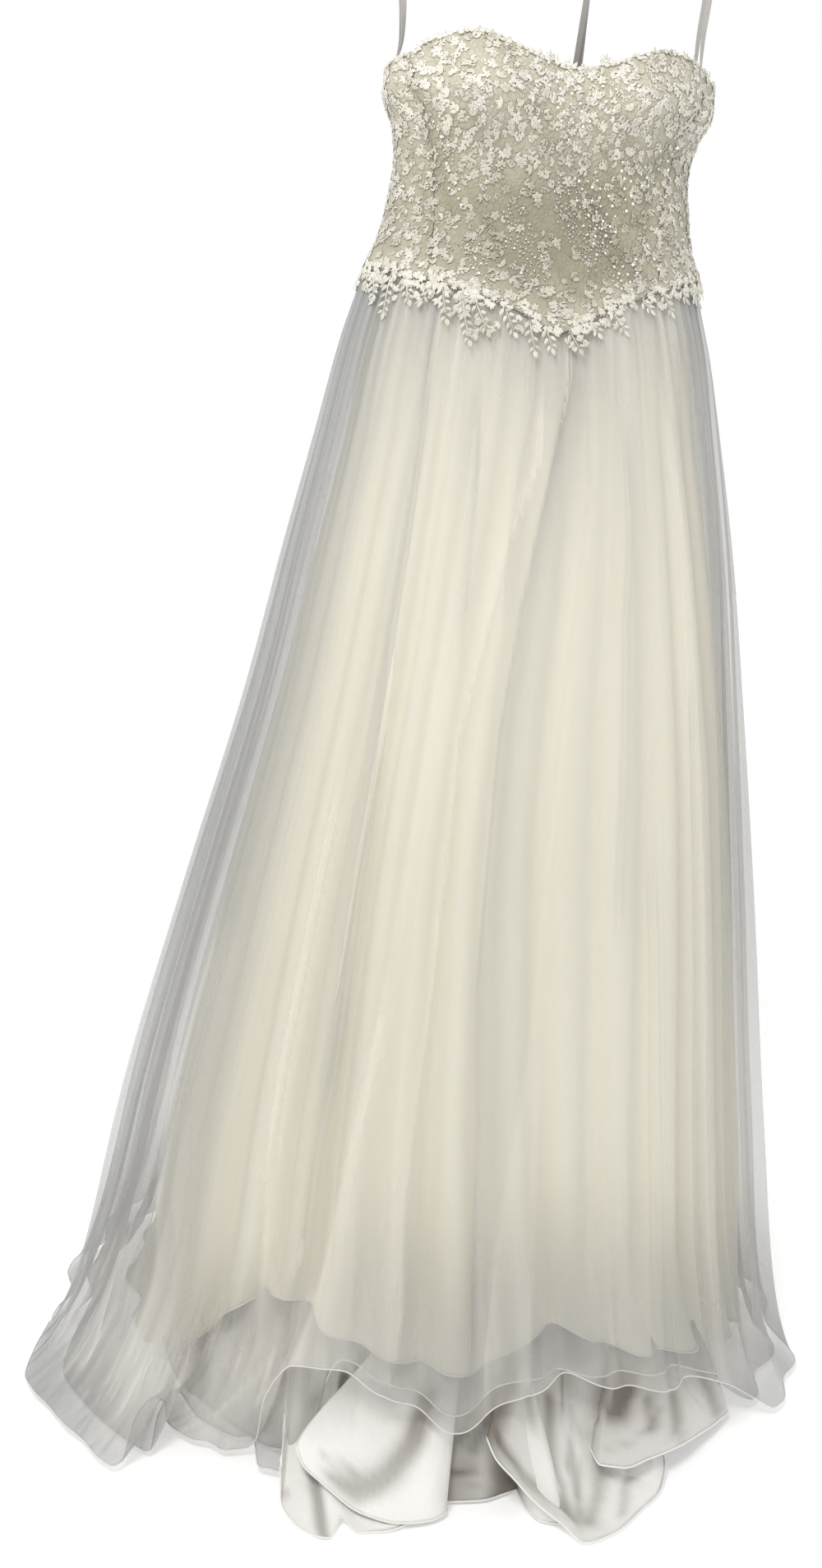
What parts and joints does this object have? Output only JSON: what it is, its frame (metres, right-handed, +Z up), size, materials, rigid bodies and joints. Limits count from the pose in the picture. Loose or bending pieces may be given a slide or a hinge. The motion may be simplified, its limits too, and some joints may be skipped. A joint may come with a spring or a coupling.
{
  "type": "wedding dress on a hanger",
  "caption": "Strapless sweetheart wedding dress with a beaded lace bodice and a full tulle skirt, hung by ribbon loops from a plain plastic hanger.",
  "frame": {"origin": "the bearing point at the top of the inside of the hanger's hook, above the dress's middle", "axes": "+Z up, front of the dress towards -Y, +X to the viewer's right"},
  "size_m": [1.0182, 1.041, 1.9363],
  "materials": {
    "hanger_plastic": "smooth moulded white plastic",
    "ribbon": "narrow satin ribbon",
    "lace": "corded floral lace with sequins and glass beads over a boned ivory foundation",
    "tulle": "fine soft tulle, see-through",
    "lining": "matt warm ivory lining",
    "satin": "soft white satin with a narrow rolled hem"
  },
  "bodies": {
    "root": {"hanger": "hanger_plastic", "hanger_loop_left": "ribbon", "hanger_loop_right": "ribbon", "hanger_loop_back": "ribbon", "bodice_front": "lace", "bodice_side_left": "lace", "bodice_side_right": "lace", "bodice_back_left": "lace", "bodice_back_right": "lace", "lace_edge_front": "lace", "lace_edge_back": "lace", "tulle_outer_front": "tulle", "tulle_outer_back": "tulle", "tulle_under_front": "tulle", "tulle_under_back": "tulle", "lining_front": "lining", "lining_back": "lining", "satin_front": "satin", "satin_back": "satin", "back_button_1": "satin", "back_button_2": "satin", "back_button_3": "satin", "back_button_4": "satin", "back_button_5": "satin", "back_button_6": "satin", "back_button_7": "satin", "back_button_8": "satin"}
  },
  "joints": []
}
